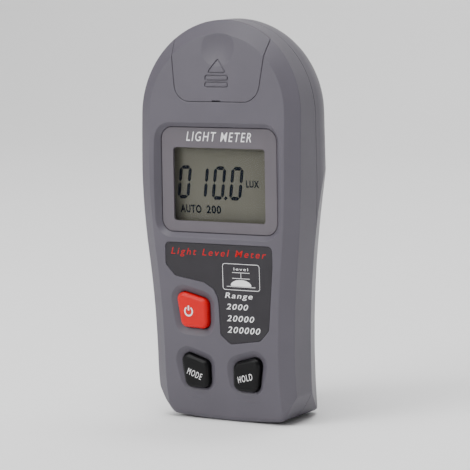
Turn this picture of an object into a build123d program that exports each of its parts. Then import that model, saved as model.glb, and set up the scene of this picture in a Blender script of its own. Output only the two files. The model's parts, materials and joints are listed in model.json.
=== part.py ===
"""Handheld light meter, in millimetres.

+Z runs up the meter, the display faces -Y and +X is to the right of someone reading it.
The origin is under the middle of the meter's box. Every piece is made at its place in that frame.
"""
from build123d import *
import math
import os

# ---- Overall sizes -------------------------------------------------------------------------
height = 145.0          # bottom edge to crown
width = 67.0            # across the crown
depth = 32.0            # key tops to back
key_rise = 1.0          # keys stand this far out of the face
wall = 2.0              # housing shells

face_y = -depth / 2 + key_rise
back_y = depth / 2

# ---- Housing outline, seen from the front ------------------------------------------------------
crown_radius = width / 2
crown_z = height - crown_radius
shoulder_drop = 18.0    # straight side below the crown's arc
waist_z = 60.0
waist_in = 2.0          # how much narrower the waist is than the crown, each side
foot_z = 10.8           # top of the cut corners
foot_in = 4.3           # narrowing at the foot, each side
flank_end = 5.0         # the flank's curve ends this far above the cut corner
corner_run = 5.7        # cut corner, across
corner_drop = 9.6       # cut corner, down
corner_round = 4.0
skirt = 12.0            # the plain form runs this far below the foot before it is cut

# ---- Housing profile, seen from the side -----------------------------------------------------
bow_from_top = 70.0     # the face bends back from here up to the crown
bow_top_z = height - bow_from_top
bow_top_radius = 450.0
bow_low_z = 22.0        # and below this height
bow_low_radius = 85.0
bevel_width = 5.1       # bevel round the face, along the face
bevel_depth = 3.0       # and back along the side
back_round = 13.5       # big round of the back's edges
foot_round = 2.4
split_from_back = 16.5  # parting plane of the two shells
split_gap = 0.2
lip_reach = 1.6
lip_wall = 1.0
split_y = back_y - split_from_back

# ---- Grip scoops in the two sides -----------------------------------------------------------
scoop_z = 20.0
scoop_radius = 390.0
scoop_depth = 4.7
scoop_turn = 25.0       # degrees that the scoop faces backward

# ---- Fits ---------------------------------------------------------------------------------
seam = 0.2              # cap and door to the housing
key_gap = 0.25
inlay_gap = 0.2
fine_gap = 0.05
slide_gap = 0.2
overlap = 0.1           # how far joined shapes run into each other
overcut = 0.5           # how far a cut runs past the face it opens

# ---- Sensor and its cap ---------------------------------------------------------------------
cap_from_top = 28.8     # the cap's lower edge, below the crown
cap_low_half = 17.0
cap_high_half = 20.9
cap_flare_rise = 27.8
cap_corner = 6.5
cap_skin = 1.7
cap_seat_gap = 0.1
dent_from_top = 9.8     # middle of the thumb dent, below the crown
dent_radius = 30.0
dent_depth = 0.8
arrow_from_top = 13.8   # arrow's tip, below the crown
arrow_height = 4.8
arrow_half = 3.9
arrow_corner = 0.5
bar_across = 9.4
bar_up = 1.65
bar_corner = 0.6
bars_from_top = (20.4, 22.8)
notch_half = 1.7        # small pull notch in the cap's lower edge
notch_up = 0.35
notch_deep = 1.0
mark_line = 0.45        # engraved outline of the arrow and bars
mark_depth = 0.3
stage_sink = 9.7        # the sensor's stage lies this far behind the face's plane
stage_wall = 1.3
well_half = 13.2        # open well round the sensor, under the cap
well_rise = 1.2         # its lower edge above the cap's lower edge
well_length = 21.6
well_corner = 2.0
dome_from_top = 19.6
dome_radius = 6.5
dome_height = 2.2
neck_radius = 4.5
rail_length = 8.0
rail_x = 9.0            # inner side of each guide rail
rail_web = 1.0
rail_lip = 1.6
rail_lip_thick = 0.6
hook_thick = 0.9
rib_thick = 1.0
ring_width = 1.0
ring_height = 0.9
ring_bevel = 0.25
stage_y = face_y + stage_sink
dome_z = height - dome_from_top

# ---- Display --------------------------------------------------------------------------------
plate_width = 48.6
plate_height = 37.9
plate_from_top = 76.1   # plate's lower edge, below the crown
plate_low_z = height - plate_from_top
plate_corner = 4.5
plate_thick = 1.0
plate_bevel = 0.2
seat_thick = 1.2        # housing behind the plate
plate_sink = 1.7        # the plate's face lies this far below the housing's face
recess_slope = 45.0
window_width = 38.7
window_height = 26.6
window_corner = 1.2
window_land = 1.2       # ledge of the housing's hole beyond the window
window_gap = 0.05
window_sink = 0.3
window_drop = 1.65      # window centre below the plate's centre
glass_width = 45.0
glass_height = 33.0
glass_thick = 2.2
glass_front_y = face_y + 5.8
holder_wall = 1.0
reflector_thick = 0.5
zebra_width = 2.0
zebra_inset = 2.0       # strips end this far inside the glass
zebra_edge = 0.3
holder_start = 0.4      # holder's rim, behind the glass's front
glass_gap = 0.1
reflector_gap = 0.6

# ---- Keys -----------------------------------------------------------------------------------
well_depth = 1.3
well_slope = 63.0
key_pad = 3.2           # housing thickness round the keys
flange_reach = 1.0
flange_thick = 1.0
key_travel = 0.5
key_crown_round = 1.4
post_extra = 0.4        # the key's post is this much wider than the plunger, all round
plunger_radius = 1.7
plunger_stick = 1.2     # the plunger stands this far out of its switch
switch_size = 6.0
switch_height = 3.5
switch_bevel = 0.4
plunger_hidden = 1.0    # length of plunger inside its switch
key_corner = 2.6
power_key = [(-18.4, 47.8), (-4.9, 44.6), (-4.9, 33.9), (-16.2, 34.3)]
mode_key = [(-17.2, 25.5), (-5.2, 22.0), (-5.2, 12.2), (-15.2, 12.2)]
hold_key = [(-x, z) for x, z in mode_key]
keys = {"power": power_key, "mode": mode_key, "hold": hold_key}

# ---- Label ----------------------------------------------------------------------------------
label_depth = 0.5
label_sink = 0.12
label_corner = 1.8
label_points = [
    (-22.3, 65.0), (22.6, 65.0), (22.6, 58.0), (20.4, 34.9), (16.7, 30.9), (4.3, 29.1),
    (0.3, 32.3), (-0.1, 43.5), (-0.6, 46.2), (-2.1, 48.8), (-6.3, 51.1), (-18.5, 53.0), (-22.3, 57.0),
]

# ---- Boards ---------------------------------------------------------------------------------
board_front_y = face_y + 10.6
board_thick = 1.2
board_half = 24.0
board_low_z = 14.0
board_from_top = 31.0   # board's upper edge, below the crown
board_high_z = height - board_from_top
board_back_y = board_front_y + board_thick
high_post_z = board_high_z - 2.6
board_posts = [(-21.5, 30.0), (21.5, 30.0), (-19.0, high_post_z), (19.0, high_post_z)]
post_radius = 2.2
board_screw_radius = 0.9
board_screw_bite = 3.6
board_head_radius = 1.8
board_head_height = 1.2
board_corner = 2.0
board_boss_gap = 0.6
chip_bevel = 0.3
processor_z = 86.0
processor_size = 12.0
processor_tall = 1.6
chip_tall = 1.4
chip_places = [(-14, 92, 5, 4), (14, 92, 5, 4), (15, 80, 4, 5), (8, 104, 5, 4)]
crystal_place = (-13, 82, 8, 3.4)
crystal_tall = 3.2
round_capacitors = [(-12, 100), (18, 100)]
round_capacitor_radius = 3.0
round_capacitor_tall = 5.0
flat_capacitors = [(-6, 76), (-3, 76), (0, 76), (3, 76)]
flat_capacitor_size = (1.2, 2.0, 0.9)
sensor_board_thick = 1.0
filter_thick = 1.0
diode_thick = 1.4
diode_half = 3.6
filter_rim = 0.4
sensor_board_half = (9.5, 5.0)
sensor_board_corner = 1.2
sensor_post_x = 7.0
sensor_post_radius = 1.1
lead_radius = 0.55
lead_bend = 2.5
sensor_lead_x = 3.0
sensor_lead_crest = 6.0
sensor_lead_end = 5.0   # below the board's upper edge
battery_lead_run = 7.0

# ---- Battery bay ----------------------------------------------------------------------------
cell_radius = 5.25
cell_length = 44.5
cell_spacing = 0.5
cell_pitch = 2 * cell_radius + cell_spacing
nub_radius = 1.9
nub_height = 0.8
spring_length = 6.2
spring_wire = 0.35      # wire radius
spring_turns = 4
spring_radius = 3.2
spring_cone = -8
cell_edge = 0.5
contact_thick = 0.4
contact_reach = (3.6, 2.8)
contact_side_gap = 1.5
lead_tab_half = 1.5
lead_tab_reach = 1.4
lead_slot_gap = 0.6
bay_side = 1.8
bay_floor = 1.2
bay_low_z = 15.5
cell_gap = 0.35
door_thick = 1.8
pad_thick = 0.3
cell_y = back_y - door_thick - pad_thick - fine_gap - cell_radius
bay_half = cell_pitch + cell_radius + cell_gap
bay_length = cell_length + spring_length + 2 * contact_thick
bay_high_z = bay_low_z + bay_length
bay_front_y = cell_y - cell_radius - cell_gap
door_side = 1.1         # the door covers this much more than the bay at its sides
door_below = 1.3
door_above = 1.6
door_half = bay_half + door_side
door_low_z = bay_low_z - door_below
door_high_z = bay_high_z + door_above
door_corner = 2.5
door_in_y = back_y - door_thick
door_pivot_y = back_y - door_thick / 2
door_pivot_z = door_low_z + door_thick / 2
tab_half = 1.0
tab_reach = 1.3
tab_x = cell_pitch / 2
tab_root = 3.0          # the tabs run up this far behind the door
catch_half = 3.0
catch_reach = 1.5
catch_thick = 1.0
pivot_half = door_half - 0.8 * door_corner
pad_half = 12.0
pad_from_ends = 14.0
groove_count = 5
groove_pitch = 2.2
groove_first = 9.0      # first groove, below the door's upper edge
groove_length = 20.0
groove_step = 2.4       # each groove is this much shorter than the one above
groove_radius = 0.8
groove_lift = 0.35      # the grooves' axis lies this far outside the back

# ---- Fasteners ------------------------------------------------------------------------------
high_screw_z = height - 38.5
screw_places = [(-13.0, 8.2), (13.0, 8.2), (-26.0, high_screw_z), (26.0, high_screw_z)]
boss_radius = 3.0
screw_radius = 1.2
head_radius = 2.3
head_height = 1.6
head_sink_y = back_y - 5.0
screw_length = 13.0
screw_tip_room = 0.5
head_edge = 0.6
cross_half = 1.5
cross_width = 0.56
cross_deep = 0.8
small_cross_half = 1.1
small_cross_width = 0.4
small_cross_deep = 0.6
nail_radius = 14.0
nail_depth = 1.1
rear_label_width = 30.0
rear_label_height = 18.0
rear_label_z = 88.0
rear_label_corner = 1.5
rear_label_sink = 0.1

# ---- Places worked out from the sizes above ----------------------------------------------------
screw_bite = screw_length - (head_sink_y - head_height - split_y)
filter_y = stage_y + stage_wall
sensor_board_y = filter_y + filter_thick + diode_thick
window_z = plate_low_z + plate_height / 2 - window_drop
glass_back_y = glass_front_y + glass_thick
plunger_tip_y = board_front_y - switch_height - plunger_stick
tab_front_y = door_in_y - tab_reach
tab_low_z = door_low_z - tab_reach
tab_swing = math.hypot(door_pivot_y - tab_front_y, door_pivot_z - tab_low_z)
lead_tabs = [(-cell_pitch, bay_low_z + contact_thick / 2), (cell_pitch, bay_high_z - contact_thick / 2)]


def front_prism(sketch, near_y, far_y):
    """Push a sketch drawn in the front view (x, z) through the meter from near_y back to far_y."""
    start = Plane(origin=(0, near_y, 0), x_dir=(1, 0, 0), z_dir=(0, 1, 0))
    flipped = mirror(sketch, about=Plane.XZ)
    return extrude(start * flipped, amount=far_y - near_y)


def block(x0, x1, y0, y1, z0, z1):
    """A box given by its six sides."""
    size = Box(x1 - x0, y1 - y0, z1 - z0)
    return Pos((x0 + x1) / 2, (y0 + y1) / 2, (z0 + z1) / 2) * size


def rod(x, z, radius, y0, y1):
    """A round bar along Y."""
    return Pos(x, (y0 + y1) / 2, z) * Rot(90, 0, 0) * Cylinder(radius, y1 - y0)


def rounded_polygon(points, radius):
    """A closed polygon with every corner rounded."""
    face = make_face(Polyline(*points, close=True))
    return fillet(face.vertices(), radius)


# ---- Housing form --------------------------------------------------------------------------
def outline(inset):
    """Front view of the housing without its cut foot, drawn inset from the outside."""
    half = crown_radius - inset
    side_top = (half, crown_z)
    side_low = (half, crown_z - shoulder_drop)
    waist = (half - waist_in, waist_z)
    foot = (half - foot_in, foot_z + flank_end)
    end = (foot[0], -skirt)
    bend = TangentArc(side_low, waist, tangent=(0, -1))
    flank = TangentArc(waist, foot, tangent=bend % 1)
    right = Line(side_top, side_low) + bend + flank + Line(foot, end)
    left = mirror(right, about=Plane.YZ)
    crown = ThreePointArc((-half, crown_z), (0, crown_z + half), side_top)
    base = Line((-end[0], end[1]), end)
    return make_face(right + left + crown + base)


def foot_outline(inset):
    """Everything above the arced sole and the two cut corners, drawn inset from the outside."""
    corner_length = math.hypot(corner_run, corner_drop)
    shift_x = inset * corner_drop / corner_length
    shift_z = inset * corner_run / corner_length
    high_x = crown_radius - foot_in - shift_x
    high_z = foot_z + shift_z
    low_x = high_x - corner_run
    low_z = high_z - corner_drop
    far_x = high_x + 2 * corner_run
    far_z = high_z + 2 * corner_drop
    sole = ThreePointArc((-low_x, low_z), (0, inset), (low_x, low_z))
    cut = Line((low_x, low_z), (far_x, far_z))
    side = Line((far_x, far_z), (far_x, 2 * height))
    sky = Line((far_x, 2 * height), (-far_x, 2 * height))
    face = make_face(sole + cut + side + sky + mirror(cut + side, about=Plane.YZ))
    corners = [v for v in face.vertices() if v.Z < 0 or abs(v.Y - low_z) < 0.01]
    return fillet(corners, corner_round)


def face_depth(z, inset=0.0):
    """Where the front face lies at height z."""
    if z > bow_top_z:
        radius = bow_top_radius
        run = z - bow_top_z
    else:
        radius = bow_low_radius
        run = max(bow_low_z - z, 0)
    return face_y + radius - math.sqrt((radius - inset) ** 2 - run ** 2)


def side_profile(inset):
    """Side view of the housing: bowed face, flat back."""
    count = 40
    low = -skirt
    high = height + skirt
    steps = [low + (high - low) * i / count for i in range(count + 1)]
    front = Spline(*[(face_depth(z, inset), z) for z in steps])
    back = back_y - inset
    rest = Polyline((face_depth(high, inset), high), (back, high), (back, low), (face_depth(low, inset), low))
    return make_face(front + rest)


def scoop_cutter(side, inset):
    """A large cylinder that hollows one flank, facing outward and a little backward."""
    turn = math.radians(scoop_turn)
    flank = crown_radius - waist_in - back_round
    behind = back_y - back_round
    support = flank * math.cos(turn) + behind * math.sin(turn) + back_round
    reach = support - scoop_depth + scoop_radius
    centre = (side * reach * math.cos(turn), reach * math.sin(turn), scoop_z)
    across = (-side * math.sin(turn), math.cos(turn), 0)
    return Plane(origin=centre, z_dir=across) * Cylinder(scoop_radius + inset, 3 * depth)


def plain_form(inset):
    """The housing's outline pushed straight through, with its foot and flanks cut."""
    form = front_prism(outline(inset), -depth, depth) & front_prism(foot_outline(inset), -depth, depth)
    return form - scoop_cutter(1, inset) - scoop_cutter(-1, inset)


def above_skirt(edges):
    """Leave out the edges at the lower end of the uncut form."""
    return [edge for edge in edges if edge.center().Z > 1 - skirt]


def housing_form(inset):
    """The whole housing as one solid, with its bevel, big rear rounds, cut foot and scoops."""
    slab = extrude(Plane.YZ * side_profile(inset), amount=width, both=True)
    form = front_prism(outline(inset), -depth, depth) & slab
    rear = form.faces().sort_by(Axis.Y)[-1]
    form = fillet(above_skirt(rear.edges()), back_round - inset)
    face = form.faces().sort_by(Axis.Y)[0]
    rim = above_skirt(face.edges())
    form = chamfer(rim, length=bevel_width - 0.73 * inset, length2=bevel_depth - 0.43 * inset, reference=face)
    foot = front_prism(foot_outline(inset), -depth, depth)
    cut = form & foot
    if inset < wall:
        cut = fillet(foot_edges(form, foot, cut), foot_round - inset)
    return cut - scoop_cutter(1, inset) - scoop_cutter(-1, inset)


def foot_edges(form, foot, cut):
    """The edges round the cut foot, without the short ones where the bevel runs out."""
    bevel_x = crown_radius - foot_in - corner_run
    edges = new_edges(form, foot, combined=cut)
    return [edge for edge in edges if edge.center().Y > face_y / 2 or abs(edge.center().X) < bevel_x]


outer = housing_form(0)
inner = housing_form(wall)
shell = outer - inner
ahead_of_split = block(-width, width, -depth, split_y - split_gap / 2, -height, 2 * height)
behind_split = block(-width, width, split_y + split_gap / 2, depth, -height, 2 * height)


# ---- Shapes that several pieces share ----------------------------------------------------------
def cap_outline(grow):
    """Front view of the sensor cap: narrow rounded lower edge, sides flaring up past the crown."""
    low = height - cap_from_top - grow
    rise = cap_flare_rise
    slope = (cap_high_half - cap_low_half) / rise
    low_half = cap_low_half + grow
    far = height + cap_corner
    far_half = low_half + slope * (far - low)
    face = make_face(Polyline((-low_half, low), (low_half, low), (far_half, far), (-far_half, far), close=True))
    corners = face.vertices().sort_by(Axis.Y)[:2]
    return fillet(corners, cap_corner + grow)


def tilted_plane(sink):
    """Plane of the display recess, leaning with the bowed face, this far below it."""
    low = face_depth(plate_low_z)
    high = face_depth(plate_low_z + plate_height)
    lean = math.atan2(high - low, plate_height)
    middle = (0, (low + high) / 2, plate_low_z + plate_height / 2)
    normal = (0, -math.cos(lean), math.sin(lean))
    return Plane(origin=middle, x_dir=(1, 0, 0), z_dir=normal).offset(-sink)


def rounded_rectangle(across, up, corner, grow=0.0):
    """Rounded rectangle, grown evenly on all sides."""
    return RectangleRounded(across + 2 * grow, up + 2 * grow, corner + grow)


def key_outline(points, grow):
    """Front view of a key, grown evenly."""
    face = rounded_polygon(points, key_corner)
    if grow:
        face = offset(face, grow)
    return face


def dome_tower(radius, y0, y1):
    """A round bar along Y on the sensor's axis."""
    return rod(0, dome_z, radius, y0, y1)


# ---- Front shell -------------------------------------------------------------------------------
def display_recess():
    """Sloped recess, seat and window hole for the display plate."""
    floor = tilted_plane(plate_sink + plate_thick)
    mouth = tilted_plane(plate_sink)
    seat = extrude(floor * rounded_rectangle(plate_width, plate_height, plate_corner, inlay_gap), plate_sink)
    slope_face = mouth * rounded_rectangle(plate_width, plate_height, plate_corner, inlay_gap)
    slope = extrude(slope_face, plate_sink + 2 * overcut, taper=-recess_slope)
    opening = Rectangle(window_width + 2 * window_land, window_height + 2 * window_land)
    hole_face = tilted_plane(0) * Pos(0, -window_drop) * opening
    hole = extrude(hole_face, 4 * plate_sink, both=True)
    return seat + slope + hole


def display_backing():
    """Thick wall behind the display plate."""
    face = tilted_plane(wall / 2) * rounded_rectangle(plate_width, plate_height, plate_corner, wall)
    return extrude(face, -(plate_sink + plate_thick + seat_thick - wall / 2))


def key_well(points):
    """Sloped well and clear hole for one key."""
    floor_y = face_y + well_depth
    hole = front_prism(key_outline(points, key_gap), -depth, face_y + 2 * key_pad)
    floor = Plane(origin=(0, floor_y, 0), x_dir=(1, 0, 0), z_dir=(0, -1, 0))
    well = extrude(floor * key_outline(points, key_gap), well_depth + overcut, taper=-well_slope)
    return hole + well


def key_backing(points):
    """Thick wall round one key's hole."""
    return front_prism(key_outline(points, 2 * wall), face_y + wall / 2, face_y + key_pad)


def behind_face(shift):
    """Everything behind the bowed face moved back by this much."""
    return Pos(0, shift, 0) * extrude(Plane.YZ * side_profile(0), amount=width, both=True)


def sensor_well(shrink):
    """Open well in the stage round the sensor."""
    low = height - cap_from_top + well_rise + shrink
    half = well_half - shrink
    well = block(-half, half, -depth, stage_y, low, low + well_length - 2 * shrink)
    return fillet(well.edges().filter_by(Axis.Y), well_corner)


def sensor_pocket_walls():
    """Land and walls of the pocket that the sensor cap closes."""
    return front_prism(cap_outline(seam + stage_wall), -depth, stage_y + stage_wall) & outer


def sensor_pocket_space():
    """What the sensor cap fills, with its seam, and the hole for the dome's neck."""
    space = front_prism(cap_outline(seam), -depth, 0) - behind_face(bevel_depth + cap_seat_gap)
    neck = dome_tower(neck_radius + slide_gap / 2, stage_y - 1, stage_y + 2 * stage_wall)
    return space + sensor_well(0) + neck


def both_sides(piece):
    """The piece and its mirror image across the meter."""
    return [piece, mirror(piece, about=Plane.YZ)]


def hook_back():
    """The cap's hooks end here, ahead of the land above the well, which they slide over."""
    well_high_z = height - cap_from_top + well_rise + well_length
    return face_depth(well_high_z - well_corner) + bevel_depth + cap_seat_gap - slide_gap


def guide_rail():
    """L-shaped guide on the stage, along Z, that a rib of the cap hooks behind."""
    low = dome_z - rail_length / 2
    high = dome_z + rail_length / 2
    top = hook_back() - hook_thick - slide_gap - rail_lip_thick
    web = block(rail_x, rail_x + rail_web, top, stage_y + stage_wall / 2, low, high)
    lip = block(rail_x, rail_x + rail_web + rail_lip, top, top + rail_lip_thick, low, high)
    return web + lip


def make_front_shell():
    """Front shell: skin, display seat, key wells, sensor pocket, bosses and board posts."""
    body = shell & ahead_of_split
    body += display_backing() & outer
    body += sensor_pocket_walls() & ahead_of_split
    for points in keys.values():
        body += key_backing(points)
    for x, z in screw_places:
        boss = rod(x, z, boss_radius, face_y - 1, split_y - split_gap / 2)
        body += boss & outer
    for x, z in board_posts:
        body += rod(x, z, post_radius, face_depth(z) + wall / 2, board_front_y)
    for side in (-1, 1):
        body += rod(side * sensor_post_x, dome_z, sensor_post_radius, stage_y + stage_wall / 2, sensor_board_y)
    body -= display_recess()
    body -= front_prism(offset(rounded_polygon(label_points, label_corner), inlay_gap), -depth, face_y + label_depth)
    for points in keys.values():
        body -= key_well(points)
    body -= sensor_pocket_space()
    for guide in both_sides(guide_rail()):
        body += guide
    for x, z in screw_places:
        body -= rod(x, z, screw_radius + fine_gap, split_y - screw_bite - screw_tip_room, split_y + overcut)
    for x, z in board_posts:
        body -= rod(x, z, board_screw_radius + fine_gap, board_front_y - board_screw_bite - screw_tip_room,
                    board_front_y + overcut)
    return body


# ---- Sensor cap --------------------------------------------------------------------------------
def outlined(face, line):
    """The closed band that follows a face's edge, half inside and half outside."""
    return offset(face, line / 2) - offset(face, -line / 2)


def cap_marks():
    """Engraved outlines of an arrow head and two bars."""
    tip = height - arrow_from_top
    low = tip - arrow_height
    arrow = make_face(Polyline((-arrow_half, low), (arrow_half, low), (0, tip), close=True))
    marks = outlined(fillet(arrow.vertices(), arrow_corner), mark_line)
    for drop in bars_from_top:
        marks += outlined(Pos(0, height - drop) * RectangleRounded(bar_across, bar_up, bar_corner), mark_line)
    prism = front_prism(marks, -depth, 0)
    return (prism - behind_face(mark_depth)) + (prism & thumb_dent(mark_depth))


def thumb_dent(grow):
    """Ball that presses a shallow dent into the cap, square to the bowed face."""
    z = height - dent_from_top
    lean = math.asin((z - bow_top_z) / bow_top_radius)
    away = dent_radius - dent_depth
    return Pos(0, face_depth(z) - away * math.cos(lean), z + away * math.sin(lean)) * Sphere(dent_radius + grow)


def cap_rib():
    """Rib on the cap's inside whose hook runs behind a guide rail."""
    low = dome_z - rail_length / 2
    high = dome_z + rail_length / 2
    outside = rail_x + rail_web + rail_lip + slide_gap
    back = hook_back()
    root = face_depth(low) + cap_skin - mark_depth
    rib = block(outside, outside + rib_thick, root, back, low, high)
    hook = block(rail_x + rail_web + slide_gap, outside + rib_thick, back - hook_thick, back, low, high)
    return rib + hook


def make_sensor_cap():
    """Lift-off cap over the sensor: curved plate with bevel, thumb dent, arrow and guide ribs."""
    plate = (outer & front_prism(cap_outline(0), -depth, 0)) - behind_face(bevel_depth)
    hollow = sensor_well(0) & behind_face(cap_skin)
    plate -= hollow - thumb_dent(cap_skin - mark_depth)
    plate -= thumb_dent(0)
    plate -= cap_marks()
    low = height - cap_from_top
    plate -= block(-notch_half, notch_half, -depth, face_depth(low) + notch_deep, low - overcut, low + notch_up)
    for rib in both_sides(cap_rib()):
        plate += rib
    return plate


# ---- Rear shell --------------------------------------------------------------------------------
def split_lip():
    """Tongue of the rear shell that reaches into the front shell."""
    inside = plain_form(wall + inlay_gap + lip_wall)
    tongue = plain_form(wall + inlay_gap) - inside
    root = plain_form(wall - inlay_gap) - inside
    reach = block(-width, width, split_y - lip_reach, split_y + 2, -height, 2 * height)
    base = block(-width, width, split_y + split_gap / 2, split_y + 2, -height, 2 * height)
    return (tongue & reach) + (root & base)


def door_rectangle(grow):
    """Front view of the battery door."""
    up = door_high_z - door_low_z
    shape = rounded_rectangle(2 * door_half, up, door_corner, grow)
    return Pos(0, door_low_z + up / 2) * shape


def door_swing_room():
    """Square lower corners of the door's opening, which let its rounded corners swing."""
    side = door_half + seam
    return block(-side, side, door_in_y - overlap, depth, door_low_z - seam, door_low_z + door_corner)


def nail_dent():
    """Ball that presses a finger dent across the door's upper edge."""
    return Pos(0, back_y + nail_radius - nail_depth, door_high_z) * Sphere(nail_radius)


def tab_slots():
    """Slots in the bay's lower wall for the door's two tabs."""
    slots = []
    half = tab_half + slide_gap
    front = door_pivot_y - tab_swing - slide_gap
    for side in (-1, 1):
        x = side * tab_x
        slots.append(block(x - half, x + half, front, back_y, tab_low_z - slide_gap, bay_low_z + overcut))
    return slots


def make_rear_shell():
    """Rear shell: skin, split lip, battery bay, screw bosses and label seat."""
    body = (shell & behind_split) + split_lip()
    bay = block(-bay_half - bay_side, bay_half + bay_side, bay_front_y - bay_floor, door_in_y - overlap,
                bay_low_z - bay_side, bay_high_z + bay_side)
    body += bay
    for x, z in screw_places:
        body += rod(x, z, boss_radius, split_y + split_gap / 2, back_y) & outer
    body -= block(-bay_half, bay_half, bay_front_y, depth, bay_low_z, bay_high_z)
    body -= front_prism(door_rectangle(seam), door_in_y - overlap, depth)
    body -= door_swing_room()
    body -= nail_dent()
    for slot in tab_slots():
        body -= slot
    for x, z in lead_tabs:
        half = lead_tab_half + lead_slot_gap
        body -= block(x - half, x + half, bay_front_y - 2 * bay_floor, bay_front_y + overlap,
                      z - contact_thick, z + contact_thick)
    body -= front_prism(Pos(0, rear_label_z) * rear_label_shape(inlay_gap), back_y - label_depth, depth)
    for x, z in screw_places:
        body -= rod(x, z, screw_radius + fine_gap, split_y - lip_reach, back_y)
        body -= rod(x, z, head_radius + slide_gap, head_sink_y - head_height, depth)
    return body


def rear_label_shape(grow):
    """Outline of the plain label on the back."""
    return rounded_rectangle(rear_label_width, rear_label_height, rear_label_corner, grow)


# ---- Small outside pieces ----------------------------------------------------------------------
def make_display_plate():
    """Frame plate round the window."""
    face = rounded_rectangle(plate_width, plate_height, plate_corner)
    hole = Pos(0, -window_drop) * rounded_rectangle(window_width, window_height, window_corner)
    plate = extrude(tilted_plane(plate_sink + plate_thick) * (face - hole), plate_thick)
    front = plate.faces().sort_by(Axis.Y)[0]
    return chamfer(front.edges(), plate_bevel)


def make_display_window():
    """Clear window set in the plate."""
    face = Pos(0, -window_drop) * rounded_rectangle(window_width, window_height, window_corner, -window_gap)
    return extrude(tilted_plane(plate_sink + plate_thick) * face, plate_thick - window_sink)


def make_label_panel():
    """Printed label under the display."""
    return front_prism(rounded_polygon(label_points, label_corner), face_y + label_sink, face_y + label_depth)


def make_key(points):
    """Key with a rounded crown, a retaining flange and a post that meets its switch."""
    crown = front_prism(key_outline(points, 0), face_y - key_rise, face_y + key_pad)
    crown = fillet(crown.faces().sort_by(Axis.Y)[0].edges(), key_crown_round)
    flange_y = face_y + key_pad + key_gap / 2
    flange = front_prism(key_outline(points, flange_reach), flange_y, flange_y + flange_thick)
    stem = front_prism(key_outline(points, 0), face_y + key_pad - overlap, flange_y + overlap)
    x, z = key_centre(points)
    post = rod(x, z, plunger_radius + post_extra, flange_y + overlap, plunger_tip_y)
    return crown + stem + flange + post


def key_centre(points):
    """Middle of a key."""
    count = len(points)
    return sum(x for x, z in points) / count, sum(z for x, z in points) / count


def make_plunger(points):
    """Sliding plunger of the switch under a key."""
    x, z = key_centre(points)
    return rod(x, z, plunger_radius, plunger_tip_y, plunger_tip_y + plunger_stick + plunger_hidden)


def make_switches():
    """The three switch housings on the board, each bored for its plunger."""
    group = []
    for points in keys.values():
        x, z = key_centre(points)
        half = switch_size / 2
        top = board_front_y - switch_height
        body = block(x - half, x + half, top, board_front_y, z - half, z + half)
        body = chamfer(body.faces().sort_by(Axis.Y)[0].edges(), switch_bevel)
        bore_depth = plunger_hidden + key_travel + slide_gap
        group.append(body - rod(x, z, plunger_radius + fine_gap, top - overcut, top + bore_depth))
    return group


# ---- Display cell ------------------------------------------------------------------------------
def display_slab(across, up, y0, y1):
    """Upright slab centred on the display window."""
    return block(-across / 2, across / 2, y0, y1, window_z - up / 2, window_z + up / 2)


def make_lcd_glass():
    """Segment cell."""
    return display_slab(glass_width, glass_height, glass_front_y, glass_back_y)


def make_lcd_reflector():
    """Reflector sheet between the two connector strips."""
    up = glass_height - 2 * (zebra_width + reflector_gap)
    return display_slab(glass_width - zebra_inset, up, glass_back_y, glass_back_y + reflector_thick)


def make_zebra_strips():
    """Two elastomer strips that join the cell to the board."""
    strips = []
    reach = glass_height / 2 - zebra_width / 2 - zebra_edge
    across = glass_width / 2 - zebra_inset
    for side in (-1, 1):
        z = window_z + side * reach
        half = zebra_width / 2
        strips.append(block(-across, across, glass_back_y, board_front_y, z - half, z + half))
    return strips


def make_lcd_holder():
    """Frame that locates the cell, its sheet and the strips on the board."""
    side = glass_gap + holder_wall
    frame = display_slab(glass_width + 2 * side, glass_height + 2 * side, glass_front_y + holder_start, board_front_y)
    frame -= display_slab(glass_width + 2 * glass_gap, glass_height + 2 * glass_gap, -depth, glass_back_y)
    return frame - display_slab(glass_width - zebra_inset, glass_height - 2 * zebra_edge, -depth, depth)


# ---- Boards ------------------------------------------------------------------------------------
def make_main_board():
    """Main circuit board, notched round the screw bosses."""
    board = block(-board_half, board_half, board_front_y, board_back_y, board_low_z, board_high_z)
    board = fillet(board.edges().filter_by(Axis.Y), board_corner)
    for x, z in screw_places:
        board -= rod(x, z, boss_radius + board_boss_gap, -depth, depth)
    for x, z in board_posts:
        board -= rod(x, z, board_screw_radius + inlay_gap, -depth, depth)
    return board


def on_board_back(x, z, across, up, tall):
    """Box part soldered to the back of the main board."""
    return block(x - across / 2, x + across / 2, board_back_y, board_back_y + tall, z - up / 2, z + up / 2)


def make_processor_chip():
    """Flat square chip with a dot in one corner."""
    chip = on_board_back(0, processor_z, processor_size, processor_size, processor_tall)
    chip = chamfer(chip.faces().sort_by(Axis.Y)[-1].edges(), chip_bevel)
    off = 0.37 * processor_size
    top = board_back_y + processor_tall
    return chip - rod(-off, processor_z + off, off / 8, top - chip_bevel, top + overcut)


def make_board_chips():
    """Amplifier, regulator and memory chips."""
    chips = [on_board_back(x, z, across, up, chip_tall) for x, z, across, up in chip_places]
    return [chamfer(chip.edges().filter_by(Axis.Y), chip_bevel) for chip in chips]


def make_crystal():
    """Clock crystal can lying on the board."""
    can = on_board_back(*crystal_place, crystal_tall)
    return fillet(can.edges().filter_by(Axis.Y), 0.47 * crystal_place[3])


def make_capacitors():
    """Two round capacitors and a row of chip capacitors."""
    group = []
    for x, z in round_capacitors:
        group.append(rod(x, z, round_capacitor_radius, board_back_y, board_back_y + round_capacitor_tall))
    for x, z in flat_capacitors:
        group.append(on_board_back(x, z, *flat_capacitor_size))
    return group


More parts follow.
